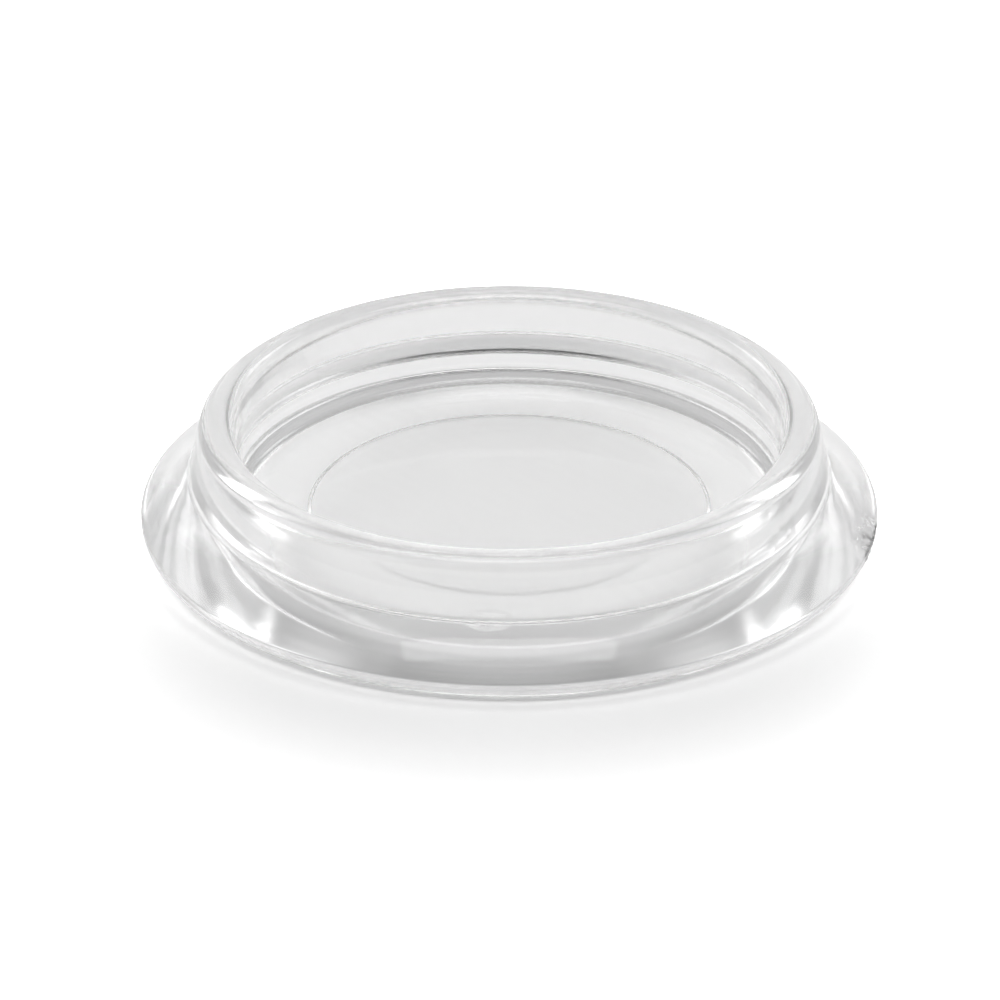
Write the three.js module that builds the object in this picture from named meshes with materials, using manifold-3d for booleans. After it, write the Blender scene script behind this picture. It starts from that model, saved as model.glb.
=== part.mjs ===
// A clear moulded furniture coaster: a shallow round cup that a furniture leg or castor stands in.
// One turned solid about Z, with the scar that the moulding gate left on the edge of its flange.
// Millimetres, +Z up, origin on the axis at the level of the ground.
import * as THREE from "three";
import { mergeVertices } from "three/addons/utils/BufferGeometryUtils.js";
import Module from "manifold-3d";

// Widths of the half-section, from the axis outwards
const seatRadius = 22.15; // where the floor meets the inner wall
const innerDraft = 0.1; // how much wider the mouth is than the floor
const rimThickness = 2.65; // the wall at its crest
const outerDraft = 1.05; // how far the wall's outside spreads from the crest to the neck
const flangeWidth = 4.05; // from the neck out to the flange's upright edge
const recessInset = 5.95; // from the inner wall in to the recess under the floor
const recessDraft = 0.25; // how much wider the recess is at its mouth

// Heights of the half-section, from the ground upwards
const recessDepth = 0.3;
const floorThickness = 1.2; // between the recess and the floor that the leg stands on
const edgeHeight = 1.55; // the flange's upright edge
const flangeRise = 3.2; // from that edge up the slope to the neck
const wallRise = 4.75; // from the neck up to the crest

// Corner radii
const footRound = 1.2;
const edgeRound = 0.25;
const neckRound = 0.8;
const crestRound = 1.3;
const floorRound = 1.1;
const recessRound = 0.15;

// Gate scar: one upright cut in the flange's edge, with a leaning cut at each end of it
const scarAngle = -14; // degrees from +X about Z
const scarDepth = 0.13; // how deep the upright cut goes
const scarSpread = 3; // degrees from the upright cut to each leaning cut
const scarEndDepth = 0.1; // how deep the leaning cuts go halfway up the edge
const scarLean = 10; // degrees that they lean, one outwards and one inwards
const cutHeight = 6; // blocks that make the cuts, tall and wide enough to pass the edge
const cutWidth = 30;

// Fineness of the faceted surface
const turnSegments = 96;
const roundSteps = 5;
const smallRoundSteps = 3;
const roundShare = 0.49; // most of an edge that one of its two rounded corners may take
const weldDistance = 1e-4;

// Places that follow from those sizes
const mouthRadius = seatRadius + innerDraft;
const crestRadius = mouthRadius + rimThickness;
const neckRadius = crestRadius + outerDraft;
const outerRadius = neckRadius + flangeWidth;
const recessRadius = seatRadius - recessInset;
const floorHeight = recessDepth + floorThickness;
const neckHeight = edgeHeight + flangeRise;
const rimHeight = neckHeight + wallRise;

const radians = THREE.MathUtils.degToRad;

// Replaces one corner of an outline by an arc that touches both of its edges.
function roundedCorner(before, corner, after) {
  const at = new THREE.Vector2(corner.r, corner.z);
  const toBefore = new THREE.Vector2(before.r, before.z).sub(at);
  const toAfter = new THREE.Vector2(after.r, after.z).sub(at);
  const room = Math.min(toBefore.length(), toAfter.length()) * roundShare;
  const half = Math.acos(toBefore.dot(toAfter) / toBefore.length() / toAfter.length()) / 2;
  const reach = Math.min(corner.round / Math.tan(half), room);
  const radius = reach * Math.tan(half);
  const start = toBefore.clone().setLength(reach).add(at);
  const end = toAfter.clone().setLength(reach).add(at);
  const middle = toBefore.clone().normalize().add(toAfter.clone().normalize());
  const centre = middle.setLength(radius / Math.sin(half)).add(at);
  const from = start.clone().sub(centre).angle();
  let turn = end.clone().sub(centre).angle() - from;
  if (turn > Math.PI) turn -= 2 * Math.PI;
  if (turn < -Math.PI) turn += 2 * Math.PI;
  const points = [];
  for (let i = 0; i <= corner.steps; i++) {
    const angle = from + (turn * i) / corner.steps;
    const spoke = new THREE.Vector2(Math.cos(angle), Math.sin(angle));
    points.push(spoke.multiplyScalar(radius).add(centre));
  }
  return points;
}

// The half-section from the axis under the floor, round the outside and back to the axis on top of it.
function cupProfile() {
  const corners = [
    { r: 0, z: recessDepth },
    { r: recessRadius, z: recessDepth, round: recessRound, steps: smallRoundSteps },
    { r: recessRadius + recessDraft, z: 0, round: recessRound, steps: smallRoundSteps },
    { r: outerRadius, z: 0, round: footRound, steps: roundSteps },
    { r: outerRadius, z: edgeHeight, round: edgeRound, steps: smallRoundSteps },
    { r: neckRadius, z: neckHeight, round: neckRound, steps: smallRoundSteps },
    { r: crestRadius, z: rimHeight, round: crestRound, steps: roundSteps },
    { r: mouthRadius, z: rimHeight, round: crestRound, steps: roundSteps },
    { r: seatRadius, z: floorHeight, round: floorRound, steps: roundSteps },
    { r: 0, z: floorHeight },
  ];
  const last = corners.length - 1;
  return corners.flatMap((corner, i) =>
    i === 0 || i === last
      ? [new THREE.Vector2(corner.r, corner.z)]
      : roundedCorner(corners[i - 1], corner, corners[i + 1]),
  );
}

const wasm = await Module();
wasm.setup();

// A closed three.js geometry as a manifold-3d solid.
function solid(geometry) {
  const bare = geometry.clone();
  bare.deleteAttribute("normal");
  bare.deleteAttribute("uv");
  const merged = mergeVertices(bare, weldDistance);
  return new wasm.Manifold(
    new wasm.Mesh({
      numProp: 3,
      vertProperties: new Float32Array(merged.attributes.position.array),
      triVerts: new Uint32Array(merged.index.array),
    }),
  );
}

// A manifold-3d solid as a three.js geometry.
function geometryOf(shape) {
  const mesh = shape.getMesh();
  const geometry = new THREE.BufferGeometry();
  geometry.setAttribute("position", new THREE.BufferAttribute(mesh.vertProperties, 3));
  geometry.setIndex(new THREE.BufferAttribute(mesh.triVerts, 1));
  geometry.computeVertexNormals();
  return geometry;
}

// One flat cut of the gate scar: a block outside the edge, whose inner face is the cut.
function scarCut(angle, depth, lean) {
  const block = new THREE.BoxGeometry(cutWidth, cutWidth, cutHeight);
  block.translate(cutWidth / 2, 0, 0);
  block.rotateY(radians(lean));
  block.translate(outerRadius - depth, 0, edgeHeight / 2);
  block.rotateZ(radians(angle));
  return solid(block);
}

// The turned cup less the cuts of its gate scar.
function cupGeometry() {
  const turned = new THREE.LatheGeometry(cupProfile(), turnSegments);
  turned.rotateX(Math.PI / 2);
  const cuts = [
    scarCut(scarAngle, scarDepth, 0),
    scarCut(scarAngle - scarSpread, scarEndDepth, scarLean),
    scarCut(scarAngle + scarSpread, scarEndDepth, -scarLean),
  ];
  return geometryOf(cuts.reduce((body, cut) => body.subtract(cut), solid(turned)));
}

const clearPlastic = new THREE.MeshStandardMaterial({
  color: 0xf1f3f3,
  roughness: 0.05,
  metalness: 0,
  transparent: true,
  opacity: 0.3,
});

const coaster = new THREE.Group();
const cup = new THREE.Mesh(cupGeometry(), clearPlastic);
cup.name = "coaster_cup";
coaster.add(cup);

export default coaster;
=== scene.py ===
"""A clear moulded furniture coaster on a white studio table.

Metres, +Z up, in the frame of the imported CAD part. The camera looks along +Y, as the photograph does.
"""
import math

import bmesh
import bpy
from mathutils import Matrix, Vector


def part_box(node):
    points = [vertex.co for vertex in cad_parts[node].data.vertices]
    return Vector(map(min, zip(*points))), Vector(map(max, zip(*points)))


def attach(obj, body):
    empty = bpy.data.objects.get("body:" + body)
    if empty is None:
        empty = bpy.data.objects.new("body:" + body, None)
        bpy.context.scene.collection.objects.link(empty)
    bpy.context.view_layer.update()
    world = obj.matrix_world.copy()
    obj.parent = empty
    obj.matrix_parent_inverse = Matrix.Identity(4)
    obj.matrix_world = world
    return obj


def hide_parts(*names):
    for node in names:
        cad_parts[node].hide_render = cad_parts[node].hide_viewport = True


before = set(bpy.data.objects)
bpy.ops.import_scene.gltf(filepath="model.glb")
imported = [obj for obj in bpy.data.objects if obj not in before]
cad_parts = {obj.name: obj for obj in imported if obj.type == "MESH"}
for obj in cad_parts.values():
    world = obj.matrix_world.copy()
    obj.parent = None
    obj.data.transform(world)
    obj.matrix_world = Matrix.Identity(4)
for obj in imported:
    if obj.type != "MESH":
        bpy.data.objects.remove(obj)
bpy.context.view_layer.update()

MM = 0.001
WHITE = (1, 1, 1, 1)

# The cup's half-section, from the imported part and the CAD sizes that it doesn't state
OUTER_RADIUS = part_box("coaster_cup")[1][0]
RIM_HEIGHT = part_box("coaster_cup")[1][2]
NECK_RADIUS = 25.95 * MM
NECK_HEIGHT = 4.75 * MM
CREST_RADIUS = 24.9 * MM
MOUTH_RADIUS = 22.25 * MM
SEAT_RADIUS = 22.15 * MM
FLOOR_HEIGHT = 1.5 * MM
EDGE_HEIGHT = 1.55 * MM
FLANGE_SWELL = 0.22 * MM
RECESS_RADIUS = 16.2 * MM
RECESS_DRAFT = 0.25 * MM
RECESS_DEPTH = 0.3 * MM

# Its corner radii
FOOT_ROUND = 1.2 * MM
EDGE_ROUND = 0.25 * MM
FLANGE_ROUND = 20 * MM
NECK_ROUND = 0.8 * MM
CREST_ROUND = 1.3 * MM
LIP_ROUND = 1.3 * MM
FLOOR_ROUND = 1.1 * MM
RECESS_ROUND = 0.15 * MM

# The gate scar on the flange's edge
SCAR_ANGLE = math.radians(-14)
SCAR_REACH = 2.9 * MM
SCAR_DEPTH = 1.0 * MM
SCAR_FOOT = 0.1 * MM
SCAR_CUTS = 2
SCAR_JITTER = 0.07 * MM
SCAR_SEED = 5
PLACE_DIGITS = 7

# The plastic: the heights of its waves, flow lines, grains and wrinkle, and how often they come
PLASTIC_TINT = (0.974, 0.974, 0.974, 1)
PLASTIC_IOR = 1.5
WAVE_HEIGHT = 0.03 * MM
WAVES_PER_METRE = 110
FLOW_HEIGHT = 0.006 * MM
FLOW_LINES_PER_METRE = 900
FLOW_DRIFT_PER_METRE = 50
HAZE_LOW = 0.04
HAZE_HIGH = 0.12
SCAR_HAZE = 0.1
SCAR_GRAIN_HEIGHT = 0.08 * MM
GRAINS_PER_METRE = 1800
WRINKLE_PLACE = (-1.6 * MM, -26.2 * MM, 5.0 * MM)
WRINKLE_REACH = (2.2 * MM, 1.5 * MM, 0.8 * MM)
WRINKLE_HEIGHT = 0.05 * MM

# How far out a marked place is at half strength, as a share of its reach, and how soft its border is
MARK_EDGE = 0.8
MARK_SOFTNESS = 0.2

# Fineness
TURN_STEPS = 320
ROUND_STEPS = 10
SMALL_ROUND_STEPS = 6
WELD = 0.0005 * MM
FLAT_FACE_WEIGHT = 100

# The camera: it looks down at the cup from the front, nearly level with the photograph's horizon
CUP_CENTRE = Vector((0, 0, 5 * MM))
VIEW_ELEVATION = math.radians(27.38)
VIEW_DISTANCE = 0.32
VIEW_RIGHT_OF_CENTRE = -0.740 * MM
VIEW_ABOVE_CENTRE = -3.197 * MM
VIEW_ROLL = math.radians(-0.1)
LENS_MM = 141.62
SENSOR_MM = 36
NEAREST_SEEN = 0.01
FARTHEST_SEEN = 20

# How often light may turn inside the clear plastic, and how often it may meet the table
LIGHT_BOUNCES = 32
DIFFUSE_BOUNCES = 3

# The table, and the oval in which the camera sees the cup's shadow on it
TABLE_SIZE = 3.0
TABLE_DROP = 0.02 * MM
TABLE_WHITE = 0.95
SHADOW_CENTRE = (0, -22 * MM, 0)
SHADOW_REACH = (40 * MM, 28 * MM, 1)
SHADOW_SOFTNESS = 0.6
WEAVE_PER_METRE = 280
WEAVE_WAVER = 1.5
FIBRES_PER_METRE = 1800
WEAVE_HEIGHT = 0.012 * MM

# The lamp above the front of the cup
SOFTBOX_PLACE = Vector((0, -0.30, 1.0))
SOFTBOX_WIDTH = 0.8
SOFTBOX_DEPTH = 0.14
SOFTBOX_WATTS = 0.9

# The room. Each wall is the brightness that it adds, then its bounds across, away and up as parts of the
# direction to it, and how soft they are. A bound that lies past every direction doesn't limit the wall.
ROOM_LEVEL = 0.46
PAST = 2
ROOM_WALLS = [
    (0.70, 0.70, PAST, -0.35, PAST, -PAST, 0.72, 0.12),
    (0.10, -PAST, 0.35, 0, PAST, -PAST, 0.55, 0.10),
    (-0.44, -PAST, 0.60, -PAST, -0.42, -PAST, 0.88, 0.06),
    (1.90, -PAST, PAST, -PAST, 0.05, 0.87, PAST, 0.06),
    (4.50, 0.50, 0.66, 0.48, 0.66, -PAST, PAST, 0.06),
]


def deselect_all():
    bpy.ops.object.select_all(action="DESELECT")


def follow_light():
    """Lets light run through the clear floor from side to side, as it does in the real plastic, and
    keeps the plastic clear for the light that falls through it on the table."""
    cycles = bpy.context.scene.cycles
    cycles.max_bounces = LIGHT_BOUNCES
    cycles.diffuse_bounces = DIFFUSE_BOUNCES
    cycles.glossy_bounces = LIGHT_BOUNCES
    cycles.transmission_bounces = LIGHT_BOUNCES
    cycles.blur_glossy = 0.0


def place_camera():
    """Sets the camera at the photograph's viewing angle."""
    right = Vector((1, 0, 0))
    back = Vector((0, -math.cos(VIEW_ELEVATION), math.sin(VIEW_ELEVATION)))
    up = back.cross(right)
    eye = CUP_CENTRE + back * VIEW_DISTANCE
    aim = CUP_CENTRE + right * VIEW_RIGHT_OF_CENTRE + up * VIEW_ABOVE_CENTRE
    turn = (aim - eye).to_track_quat("-Z", "Y").to_matrix().to_4x4()
    bpy.ops.object.camera_add(location=eye)
    camera = bpy.context.object
    camera.name = "camera"
    camera.rotation_euler = turn.to_euler()
    camera.rotation_euler.rotate_axis("Z", VIEW_ROLL)
    camera.data.lens = LENS_MM
    camera.data.sensor_width = SENSOR_MM
    camera.data.clip_start = NEAREST_SEEN
    camera.data.clip_end = FARTHEST_SEEN
    bpy.context.scene.camera = camera


# The cup

def flange_middle():
    """The middle of the flange's slope, which swells a little above the straight line."""
    run = OUTER_RADIUS - NECK_RADIUS
    rise = NECK_HEIGHT - EDGE_HEIGHT
    swell = FLANGE_SWELL / math.hypot(run, rise)
    return NECK_RADIUS + run / 2 + rise * swell, EDGE_HEIGHT + rise / 2 + run * swell


def section_corners():
    """The corners of the half-section as (radius, height, rounding, steps), from under the floor round
    the outside and back to the axis on top of it."""
    return [
        (0, RECESS_DEPTH, 0, 0),
        (RECESS_RADIUS, RECESS_DEPTH, RECESS_ROUND, SMALL_ROUND_STEPS),
        (RECESS_RADIUS + RECESS_DRAFT, 0, RECESS_ROUND, SMALL_ROUND_STEPS),
        (OUTER_RADIUS, 0, FOOT_ROUND, ROUND_STEPS),
        (OUTER_RADIUS, EDGE_HEIGHT, EDGE_ROUND, SMALL_ROUND_STEPS),
        (*flange_middle(), FLANGE_ROUND, ROUND_STEPS),
        (NECK_RADIUS, NECK_HEIGHT, NECK_ROUND, SMALL_ROUND_STEPS),
        (CREST_RADIUS, RIM_HEIGHT, CREST_ROUND, ROUND_STEPS),
        (MOUTH_RADIUS, RIM_HEIGHT, LIP_ROUND, ROUND_STEPS),
        (SEAT_RADIUS, FLOOR_HEIGHT, FLOOR_ROUND, ROUND_STEPS),
        (0, FLOOR_HEIGHT, 0, 0),
    ]


def select_point(place):
    """Selects the one point of the mesh in edit mode that lies at a place."""
    mesh = bmesh.from_edit_mesh(bpy.context.object.data)
    nearest = min(mesh.verts, key=lambda point: (point.co - place).length)
    bpy.ops.mesh.select_all(action="DESELECT")
    nearest.select = True
    mesh.select_flush_mode()
    bmesh.update_edit_mesh(bpy.context.object.data)


def draw_section(corners):
    """Draws the half-section as a line of points in the XZ plane and rounds its corners."""
    deselect_all()
    bpy.ops.mesh.primitive_plane_add(size=MM, location=(0, 0, corners[0][1]))
    bpy.ops.object.mode_set(mode="EDIT")
    bpy.ops.mesh.select_all(action="SELECT")
    bpy.ops.mesh.merge(type="CENTER")
    places = [Vector((radius, 0, height)) for radius, height, _, _ in corners]
    for here, there in zip(places, places[1:]):
        bpy.ops.mesh.extrude_region_move(TRANSFORM_OT_translate={"value": there - here})
    bpy.ops.object.mode_set(mode="OBJECT")
    bpy.ops.object.transform_apply(location=True, rotation=True, scale=True)
    bpy.ops.object.mode_set(mode="EDIT")
    for i, (_, _, rounding, steps) in enumerate(corners):
        if rounding == 0:
            continue
        to_before = places[i - 1] - places[i]
        to_after = places[i + 1] - places[i]
        reach = rounding / math.tan(to_before.angle(to_after) / 2)
        select_point(places[i])
        bpy.ops.mesh.bevel(affect="VERTICES", offset=reach, segments=steps, profile=0.5)


def scar_place():
    """The middle of the gate scar on the flange's edge."""
    across = OUTER_RADIUS * math.cos(SCAR_ANGLE)
    away = OUTER_RADIUS * math.sin(SCAR_ANGLE)
    return Vector((across, away, EDGE_HEIGHT / 2))


def order_by_place(elements, place_of):
    """Puts a mesh's points or faces in order of their places."""
    elements.index_update()
    ordered = sorted(elements, key=lambda element: [round(part, PLACE_DIGITS) for part in place_of(element)])
    ranks = {element.index: rank for rank, element in enumerate(ordered)}
    elements.sort(key=lambda element: ranks[element.index])


def settle_order(cup):
    """Gives the mesh in edit mode the same order in every run, because the scar's random shifts are drawn
    in that order and Blender's own changes from run to run."""
    mesh = bmesh.from_edit_mesh(cup.data)
    order_by_place(mesh.verts, lambda point: point.co)
    order_by_place(mesh.faces, lambda face: face.calc_center_median())
    bmesh.update_edit_mesh(cup.data)


def roughen_scar(cup):
    """Breaks up the flange's edge where the moulding gate was cut off."""
    scar = scar_place()
    bpy.ops.object.mode_set(mode="EDIT")
    bpy.ops.mesh.select_mode(type="FACE")
    bpy.ops.mesh.select_all(action="DESELECT")
    mesh = bmesh.from_edit_mesh(cup.data)
    for face in mesh.faces:
        middle = face.calc_center_median()
        near = (middle - scar).length < SCAR_REACH
        at_edge = middle.xy.length > OUTER_RADIUS - SCAR_DEPTH
        face.select = near and at_edge and middle.z > SCAR_FOOT
    bmesh.update_edit_mesh(cup.data)
    bpy.ops.mesh.subdivide(number_cuts=SCAR_CUTS)
    settle_order(cup)
    bpy.ops.transform.vertex_random(offset=SCAR_JITTER, seed=SCAR_SEED)
    bpy.ops.mesh.faces_shade_flat()
    bpy.ops.mesh.select_mode(type="VERT")
    bpy.ops.object.mode_set(mode="OBJECT")


def make_cup():
    """Spins the half-section into the cup."""
    draw_section(section_corners())
    bpy.ops.mesh.select_all(action="SELECT")
    bpy.ops.mesh.spin(
        steps=TURN_STEPS, angle=2 * math.pi, center=(0, 0, 0), axis=(0, 0, 1), use_auto_merge=True
    )
    bpy.ops.mesh.select_all(action="SELECT")
    bpy.ops.mesh.remove_doubles(threshold=WELD)
    bpy.ops.mesh.normals_make_consistent(inside=False)
    bpy.ops.object.mode_set(mode="OBJECT")
    cup = bpy.context.object
    cup.name = "moulded_cup"
    bpy.ops.object.shade_smooth()
    roughen_scar(cup)
    weighted = cup.modifiers.new("flat_faces_stay_flat", "WEIGHTED_NORMAL")
    weighted.weight = FLAT_FACE_WEIGHT
    bpy.ops.object.modifier_apply(modifier=weighted.name)
    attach(cup, "root")
    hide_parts("coaster_cup")
    cup.data.materials.clear()
    cup.data.materials.append(clear_plastic())


# Shader nodes

def combine(tree, operation, first, second):
    """One Math node on two values, each a socket or a number."""
    node = tree.nodes.new("ShaderNodeMath")
    node.operation = operation
    for value, socket in zip((first, second), node.inputs):
        if isinstance(value, bpy.types.NodeSocket):
            tree.links.new(value, socket)
        else:
            socket.default_value = value
    return node.outputs[0]


def add(tree, first, second):
    return combine(tree, "ADD", first, second)


def multiply(tree, first, second):
    return combine(tree, "MULTIPLY", first, second)


def soft_step(tree, value, edge, softness):
    """A value that goes from 0 to 1 as another passes an edge."""
    step = tree.nodes.new("ShaderNodeMapRange")
    step.interpolation_type = "SMOOTHSTEP"
    step.inputs["From Min"].default_value = edge - softness
    step.inputs["From Max"].default_value = edge + softness
    tree.links.new(value, step.inputs["Value"])
    return step.outputs["Result"]


def window(tree, value, low, high, softness):
    """A value that is 1 while another lies between two edges, and 0 outside them."""
    inside = soft_step(tree, value, low, softness)
    past = soft_step(tree, value, high, softness)
    return combine(tree, "SUBTRACT", inside, past)


def distance_in_reaches(tree, place, centre, reach):
    """How far a place lies from a centre, where 1 is the reach along each axis."""
    moved = tree.nodes.new("ShaderNodeVectorMath")
    moved.operation = "SUBTRACT"
    moved.inputs[1].default_value = centre
    scaled = tree.nodes.new("ShaderNodeVectorMath")
    scaled.operation = "DIVIDE"
    scaled.inputs[1].default_value = reach
    length = tree.nodes.new("ShaderNodeVectorMath")
    length.operation = "LENGTH"
    tree.links.new(place, moved.inputs[0])
    tree.links.new(moved.outputs[0], scaled.inputs[0])
    tree.links.new(scaled.outputs[0], length.inputs[0])
    return length.outputs["Value"]


def near_place(tree, place, centre, reach):
    """A value that is 1 at a place and fades to 0 at the reach of it along each axis."""
    distance = distance_in_reaches(tree, place, centre, reach)
    return combine(tree, "SUBTRACT", 1.0, soft_step(tree, distance, MARK_EDGE, MARK_SOFTNESS))


def noise(tree, place, scale, detail):
    texture = tree.nodes.new("ShaderNodeTexNoise")
    texture.inputs["Scale"].default_value = scale
    texture.inputs["Detail"].default_value = detail
    tree.links.new(place, texture.inputs["Vector"])
    return texture.outputs["Fac"]


def around_the_ring(tree, place):
    """A place for lines that run round the cup: it changes fast across the section and slowly along."""
    parts = tree.nodes.new("ShaderNodeSeparateXYZ")
    tree.links.new(place, parts.inputs[0])
    x, y, z = parts.outputs
    radius = combine(tree, "SQRT", add(tree, multiply(tree, x, x), multiply(tree, y, y)), 0)
    section = combine(tree, "SUBTRACT", z, radius)
    joined = tree.nodes.new("ShaderNodeCombineXYZ")
    tree.links.new(multiply(tree, x, FLOW_DRIFT_PER_METRE), joined.inputs["X"])
    tree.links.new(multiply(tree, y, FLOW_DRIFT_PER_METRE), joined.inputs["Y"])
    tree.links.new(multiply(tree, section, FLOW_LINES_PER_METRE), joined.inputs["Z"])
    return joined.outputs[0]


def new_material(name):
    """A new material's node tree, its shader, and the place on the piece."""
    material = bpy.data.materials.new(name)
    material.use_nodes = True
    tree = material.node_tree
    place = tree.nodes.new("ShaderNodeTexCoord").outputs["Object"]
    return material, tree, tree.nodes["Principled BSDF"], place


def add_bump(tree, shader, height):
    """Bends the shader's normal by a height in metres."""
    bump = tree.nodes.new("ShaderNodeBump")
    bump.inputs["Distance"].default_value = 1.0
    tree.links.new(height, bump.inputs["Height"])
    tree.links.new(bump.outputs["Normal"], shader.inputs["Normal"])


# Materials

def clear_plastic():
    """Clear moulded plastic with slow waves, faint flow lines round the ring, a wrinkle at the neck and
    the broken surface of the gate scar."""
    material, tree, shader, place = new_material("clear_plastic")
    shader.inputs["Base Color"].default_value = PLASTIC_TINT
    shader.inputs["IOR"].default_value = PLASTIC_IOR
    shader.inputs["Transmission Weight"].default_value = 1.0

    slow = noise(tree, place, WAVES_PER_METRE, 1)
    along = noise(tree, around_the_ring(tree, place), 1, 1)
    fine = noise(tree, place, GRAINS_PER_METRE, 2)
    wrinkled = near_place(tree, place, WRINKLE_PLACE, WRINKLE_REACH)
    scarred = near_place(tree, place, scar_place(), (SCAR_REACH, SCAR_REACH, SCAR_REACH))

    wrinkle = multiply(tree, wrinkled, WRINKLE_HEIGHT)
    grain = multiply(tree, scarred, SCAR_GRAIN_HEIGHT)
    smooth = add(tree, multiply(tree, slow, WAVE_HEIGHT), multiply(tree, along, FLOW_HEIGHT))
    rough = multiply(tree, add(tree, wrinkle, grain), fine)
    add_bump(tree, shader, add(tree, smooth, rough))

    haze = add(tree, multiply(tree, slow, HAZE_HIGH - HAZE_LOW), HAZE_LOW)
    scar_haze = multiply(tree, multiply(tree, scarred, fine), SCAR_HAZE)
    tree.links.new(add(tree, haze, scar_haze), shader.inputs["Roughness"])
    return material


def table_white():
    """White woven paper: far from the cup's shadow the camera sees it as plain white."""
    material, tree, shader, place = new_material("table_white")
    shader.inputs["Base Color"].default_value = (TABLE_WHITE, TABLE_WHITE, TABLE_WHITE, 1)
    shader.inputs["Roughness"].default_value = 1.0
    shader.inputs["Specular IOR Level"].default_value = 0.0
    shader.inputs["Emission Color"].default_value = WHITE
    distance = distance_in_reaches(tree, place, SHADOW_CENTRE, SHADOW_REACH)
    outside = soft_step(tree, distance, 1.0, SHADOW_SOFTNESS)
    ray = tree.nodes.new("ShaderNodeLightPath")
    glow = multiply(tree, outside, ray.outputs["Is Camera Ray"])
    tree.links.new(glow, shader.inputs["Emission Strength"])

    weave = tree.nodes.new("ShaderNodeTexWave")
    weave.bands_direction = "DIAGONAL"
    weave.inputs["Scale"].default_value = WEAVE_PER_METRE
    weave.inputs["Distortion"].default_value = WEAVE_WAVER
    weave.inputs["Detail"].default_value = 2
    tree.links.new(place, weave.inputs["Vector"])
    fibres = noise(tree, place, FIBRES_PER_METRE, 3)
    add_bump(tree, shader, multiply(tree, add(tree, weave.outputs["Fac"], fibres), WEAVE_HEIGHT))
    return material


# The studio

def make_table():
    deselect_all()
    bpy.ops.mesh.primitive_plane_add(size=TABLE_SIZE, location=(0, 0, -TABLE_DROP))
    table = bpy.context.object
    table.name = "table"
    table.data.materials.append(table_white())


def make_softbox():
    """The lamp whose light band lies along the front of the flange."""
    deselect_all()
    bpy.ops.object.light_add(type="AREA", location=SOFTBOX_PLACE)
    lamp = bpy.context.object
    lamp.name = "top_softbox"
    lamp.rotation_euler = (-SOFTBOX_PLACE).to_track_quat("-Z", "Y").to_euler()
    lamp.data.shape = "RECTANGLE"
    lamp.data.size = SOFTBOX_WIDTH
    lamp.data.size_y = SOFTBOX_DEPTH
    lamp.data.energy = SOFTBOX_WATTS
    lamp.visible_camera = False


def room_level(tree):
    """How bright the room is in each direction: X to the right, Y away from the camera, Z up."""
    direction = tree.nodes.new("ShaderNodeTexCoord")
    parts = tree.nodes.new("ShaderNodeSeparateXYZ")
    tree.links.new(direction.outputs["Generated"], parts.inputs[0])
    across = combine(tree, "ABSOLUTE", parts.outputs["X"], 0)
    away = parts.outputs["Y"]
    up = parts.outputs["Z"]
    level = ROOM_LEVEL
    for added, across_from, across_to, away_from, away_to, up_from, up_to, softness in ROOM_WALLS:
        at_side = window(tree, across, across_from, across_to, softness)
        at_back = window(tree, away, away_from, away_to, softness)
        at_height = window(tree, up, up_from, up_to, softness)
        wall = multiply(tree, multiply(tree, at_side, at_back), at_height)
        level = add(tree, level, multiply(tree, wall, added))
    return level


def light_world():
    """Lights the cup from a room whose walls differ in brightness. The camera itself sees plain white."""
    world = bpy.data.worlds.new("studio_room")
    bpy.context.scene.world = world
    world.use_nodes = True
    world.cycles.sampling_method = "NONE"
    tree = world.node_tree
    ray = tree.nodes.new("ShaderNodeLightPath")
    seen = tree.nodes.new("ShaderNodeMix")
    seen.data_type = "FLOAT"
    seen.inputs["B"].default_value = 1.0
    background = tree.nodes["Background"]
    background.inputs["Color"].default_value = WHITE
    tree.links.new(ray.outputs["Is Camera Ray"], seen.inputs["Factor"])
    tree.links.new(room_level(tree), seen.inputs["A"])
    tree.links.new(seen.outputs["Result"], background.inputs["Strength"])


follow_light()
place_camera()
make_cup()
make_table()
make_softbox()
light_world()
bpy.context.scene.view_settings.view_transform = "Standard"
